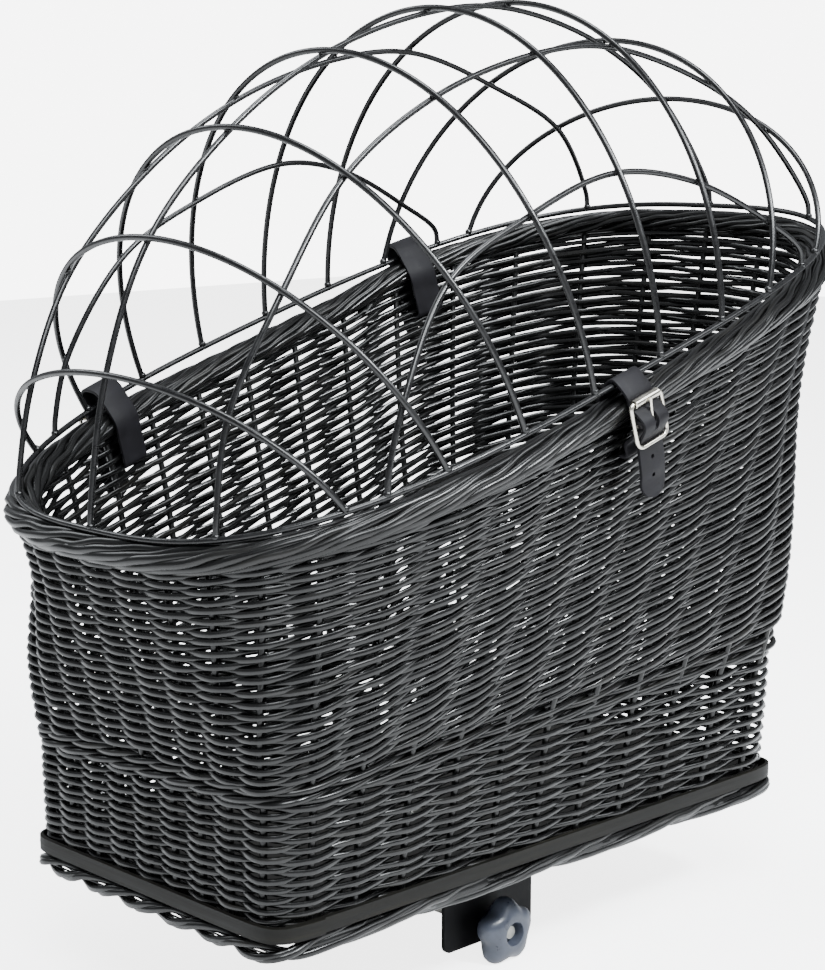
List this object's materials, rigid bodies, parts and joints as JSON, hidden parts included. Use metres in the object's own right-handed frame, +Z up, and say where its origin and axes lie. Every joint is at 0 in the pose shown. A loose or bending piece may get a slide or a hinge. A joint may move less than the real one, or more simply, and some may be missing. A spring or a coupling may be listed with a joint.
{
  "type": "dog bicycle basket",
  "caption": "Tapered woven bicycle basket for a small dog, with a sloping rim, a hinged wire dome held by buckled straps and a screw clamp for a luggage carrier.",
  "frame": {"origin": "middle of the part at the lowest point of the clamp knob, under the basket", "axes": "+X from the low end to the high end of the rim, +Y towards the hinge side of the dome, +Z up"},
  "size_m": [0.528, 0.3632, 0.5654],
  "materials": {
    "willow": "black dyed willow, woven",
    "rim_rods": "black dyed willow rods, wrapped",
    "strip": "split willow strip, dyed",
    "plywood": "stained plywood",
    "wire": "black powder coat",
    "leather": "charcoal leather",
    "nickel": "nickel plate",
    "clamp_steel": "black paint, worn",
    "zinc": "zinc plate",
    "knob_plastic": "moulded, grained"
  },
  "bodies": {
    "basket": {"wall_lower": "willow", "wall_upper": "willow", "waling": "rim_rods", "foot_border": "rim_rods", "edge_strip": "strip", "floor_board": "plywood", "rim_border": "rim_rods", "clamp_saddle": "clamp_steel", "clamp_rod": "zinc", "clamp_nut": "zinc", "floor_bolt_1": "zinc", "floor_bolt_2": "zinc", "floor_bolt_3": "zinc", "floor_bolt_4": "zinc", "floor_nut_1": "zinc", "floor_nut_2": "zinc", "floor_nut_3": "zinc", "floor_nut_4": "zinc", "strap_closing": "leather", "strap_hinge_low": "leather", "strap_hinge_high": "leather", "buckle_frame_closing": "nickel", "buckle_frame_hinge_low": "nickel", "buckle_frame_hinge_high": "nickel"},
    "dome": {"dome_ring": "wire", "dome_hoop_1": "wire", "dome_hoop_2": "wire", "dome_hoop_3": "wire", "dome_hoop_4": "wire", "dome_hoop_5": "wire", "dome_hoop_6": "wire", "dome_hoop_7": "wire", "dome_hoop_8": "wire", "dome_long_centre": "wire", "dome_long_near": "wire", "dome_long_far": "wire", "dome_low_near": "wire", "dome_low_far": "wire"},
    "jaw": {"clamp_jaw": "clamp_steel", "clamp_washer": "zinc"},
    "knob": {"clamp_knob": "knob_plastic"},
    "pin_closing": {"buckle_pin_closing": "nickel"},
    "roller_closing": {"buckle_roller_closing": "nickel"},
    "pin_hinge_low": {"buckle_pin_hinge_low": "nickel"},
    "roller_hinge_low": {"buckle_roller_hinge_low": "nickel"},
    "pin_hinge_high": {"buckle_pin_hinge_high": "nickel"},
    "roller_hinge_high": {"buckle_roller_hinge_high": "nickel"}
  },
  "joints": [
    {"name": "dome_hinge", "type": "hinge", "parent": "basket", "child": "dome", "pos_m": [0.0015, 0.16449, 0.36629], "axis": [-0.9584, 0, -0.2856], "range_deg": [0, 100], "deforming": ["strap_closing"]},
    {"name": "jaw_slide", "type": "slide", "parent": "basket", "child": "jaw", "axis": [0, 1, 0], "range_m": [-0.01, 0.015]},
    {"name": "knob_turn", "type": "hinge", "parent": "jaw", "child": "knob", "pos_m": [-0.013, -0.05701, 0.01816], "axis": [0, 1, 0], "range_deg": [-2890, 4330]},
    {"name": "pin_closing", "type": "hinge", "parent": "basket", "child": "pin_closing", "pos_m": [-0.01895, -0.17568, 0.33772], "axis": [0.9583, -0.0057, 0.2856], "range_deg": [0, 90]},
    {"name": "roller_closing", "type": "hinge", "parent": "basket", "child": "roller_closing", "pos_m": [-0.02252, -0.17566, 0.3497], "axis": [-0.9583, 0.0057, -0.2856], "continuous": true},
    {"name": "pin_hinge_low", "type": "hinge", "parent": "basket", "child": "pin_hinge_low", "pos_m": [-0.1266, 0.17409, 0.30642], "axis": [-0.9436, -0.1747, -0.2812], "range_deg": [0, 90]},
    {"name": "roller_hinge_low", "type": "hinge", "parent": "basket", "child": "roller_hinge_low", "pos_m": [-0.13006, 0.17345, 0.31841], "axis": [0.9436, 0.1747, 0.2812], "continuous": true},
    {"name": "pin_hinge_high", "type": "hinge", "parent": "basket", "child": "pin_hinge_high", "pos_m": [0.13388, 0.1727, 0.38241], "axis": [-0.9421, 0.1836, -0.2807], "range_deg": [0, 90]},
    {"name": "roller_hinge_high", "type": "hinge", "parent": "basket", "child": "roller_hinge_high", "pos_m": [0.13043, 0.17337, 0.3944], "axis": [0.9421, -0.1836, 0.2807], "continuous": true}
  ],
  "couplings": [
    {"joint": "knob_turn", "follows": "jaw_slide", "rad_per_m": 5026.6}
  ]
}
